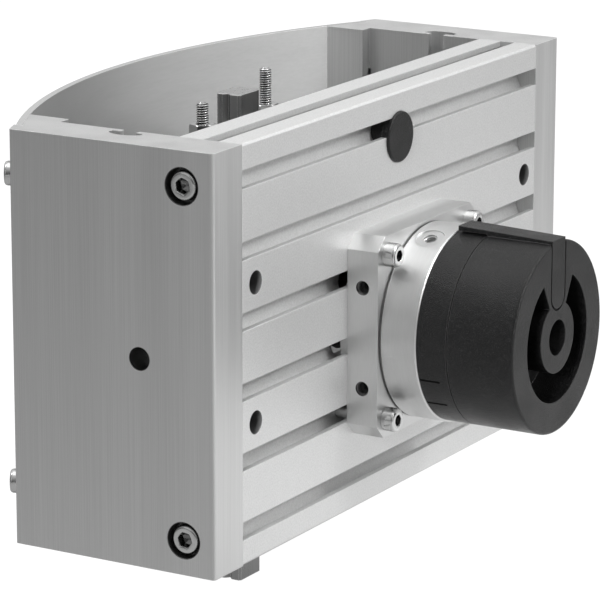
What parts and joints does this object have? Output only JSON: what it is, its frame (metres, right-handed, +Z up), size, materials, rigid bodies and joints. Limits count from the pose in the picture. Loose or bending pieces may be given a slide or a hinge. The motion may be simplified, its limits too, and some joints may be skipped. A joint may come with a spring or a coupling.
{
  "type": "pick and place handling module",
  "caption": "Handling module: a semi-rotary drive swings a forked arm inside a slotted plate housing, so that a vertical rail moves sideways and up and down.",
  "frame": {"origin": "middle of the four mounting holes, on the drive face of the plate", "axes": "+X along the horizontal stroke to the right seen from the drive, +Y from the drive towards the curved cover, +Z up"},
  "size_m": [0.206, 0.1456, 0.157],
  "materials": {
    "profile": "satin anodised",
    "end_plate": "machined, fine brushed",
    "cover_sheet": "brushed sheet",
    "bright_screw": "bright zinc",
    "dark_screw": "black oxide",
    "tool_steel": "ground",
    "guide_steel": "ground",
    "rail_steel": "dark ground",
    "shaft_steel": "ground",
    "drive_aluminium": "satin",
    "slide_aluminium": "satin anodised",
    "bronze": "sintered",
    "black_plastic": "fine grain",
    "green_plastic": "moulded",
    "rubber": "matt"
  },
  "bodies": {
    "root": {"drive_plate": "profile", "left_end_plate": "end_plate", "right_end_plate": "end_plate", "curved_cover": "cover_sheet", "cover_screws": "bright_screw", "end_plate_screws": "bright_screw", "blanking_plug": "black_plastic", "cam_plate": "tool_steel", "cam_plate_screws": "dark_screw", "horizontal_rail": "guide_steel", "horizontal_rail_screws": "dark_screw", "end_buffers": "rubber", "drive_flange": "drive_aluminium", "flange_screws": "bright_screw", "drive_barrel": "drive_aluminium", "barrel_screws": "dark_screw", "front_bearing": "bronze", "rear_bearing": "bronze", "shaft_seal": "rubber", "chamber_separator": "drive_aluminium", "scale_collar": "black_plastic"},
    "swing_drive": {"drive_shaft": "shaft_steel", "vane": "drive_aluminium", "vane_seal": "rubber", "drive_arm": "tool_steel", "arm_clamp_screw": "dark_screw", "indicator_cap": "black_plastic", "cap_screw": "bright_screw"},
    "cross_slide": {"horizontal_carriage": "guide_steel", "horizontal_end_caps": "green_plastic", "carriage_plate": "slide_aluminium", "carriage_plate_screws": "dark_screw", "left_cheek": "slide_aluminium", "right_cheek": "slide_aluminium", "cheek_screws": "dark_screw", "guide_plate": "slide_aluminium", "guide_plate_screws": "dark_screw", "upper_guide_carriage": "guide_steel", "lower_guide_carriage": "guide_steel", "vertical_end_caps": "green_plastic", "stop_screws": "bright_screw", "lock_nuts": "bright_screw"},
    "vertical_slide": {"vertical_rail": "rail_steel", "driver_block": "slide_aluminium", "driver_block_screws": "dark_screw", "driver_pin": "shaft_steel"},
    "driver_roller": {"cam_roller": "shaft_steel"}
  },
  "joints": [
    {"name": "horizontal_stroke", "type": "slide", "parent": "root", "child": "cross_slide", "axis": [1, 0, 0], "range_m": [-0.045, 0.045]},
    {"name": "vertical_stroke", "type": "slide", "parent": "cross_slide", "child": "vertical_slide", "axis": [0, 0, 1], "range_m": [-0.038, 0]},
    {"name": "arm_swing", "type": "hinge", "parent": "root", "child": "swing_drive", "pos_m": [0, 0, -0.007], "axis": [0, 1, 0], "range_deg": [-90, 90]},
    {"name": "roller_spin", "type": "hinge", "parent": "vertical_slide", "child": "driver_roller", "pos_m": [0, 0.0347, 0.031], "axis": [0, 1, 0], "continuous": true}
  ],
  "couplings": [
    {"joint": "arm_swing", "follows": "horizontal_stroke", "rad_per_m": 34.907}
  ]
}
